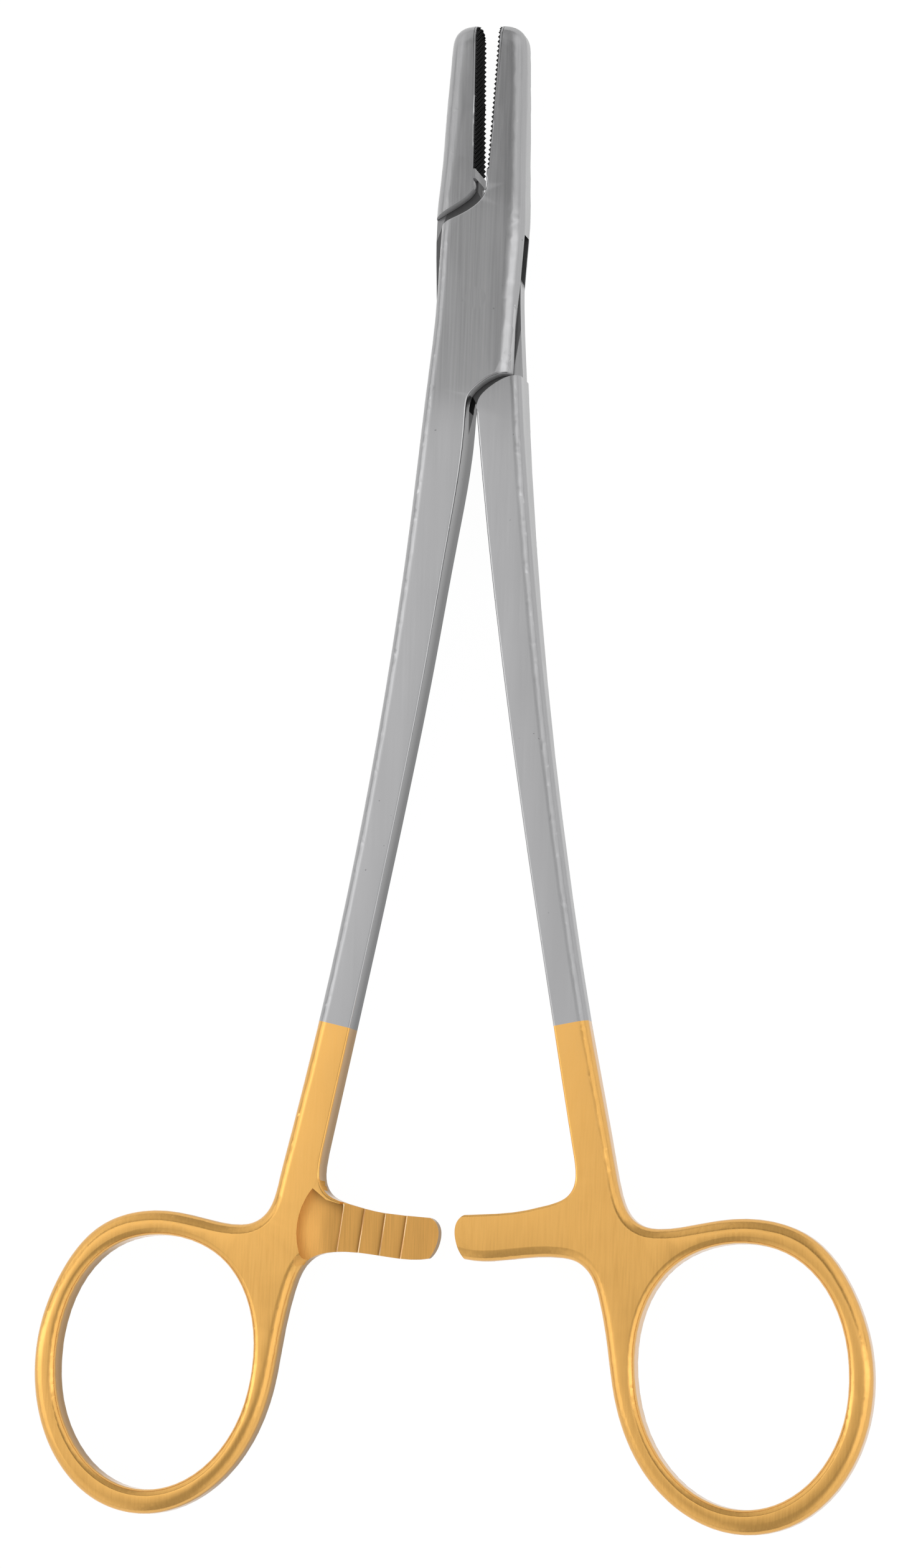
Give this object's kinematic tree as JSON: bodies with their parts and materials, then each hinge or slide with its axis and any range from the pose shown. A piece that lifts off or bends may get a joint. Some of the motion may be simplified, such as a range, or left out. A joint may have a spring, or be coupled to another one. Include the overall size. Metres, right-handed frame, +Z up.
{
  "type": "wire twisting forceps",
  "caption": "Long handled surgical pliers with a box lock, short blunt jaws with hard serrated inserts, oval finger rings and a ratchet between the shanks.",
  "frame": {"origin": "on the hinge pin's axis at the underside of the box lock", "axes": "+Y from the finger rings to the jaws along the middle between the shanks, +Z up through the thickness, +X to the tongue half's finger ring"},
  "size_m": [0.0923, 0.1649, 0.0062],
  "materials": {
    "forged_steel": "satin ground, finger rings and ratchet arms gold plated and polished",
    "pin_steel": "ground flush with the lock",
    "hard_metal": "dark sintered hard metal with cut serrations"
  },
  "bodies": {
    "box_body": {"box_half": "forged_steel", "pivot_pin": "pin_steel", "box_jaw_insert": "hard_metal"},
    "tongue_body": {"tongue_half": "forged_steel", "tongue_jaw_insert": "hard_metal"}
  },
  "joints": [
    {"name": "box_lock", "type": "hinge", "parent": "box_body", "child": "tongue_body", "pos_m": [0, 0, 0.0031], "axis": [0, 0, 1], "range_deg": [-4.3, 45]}
  ]
}
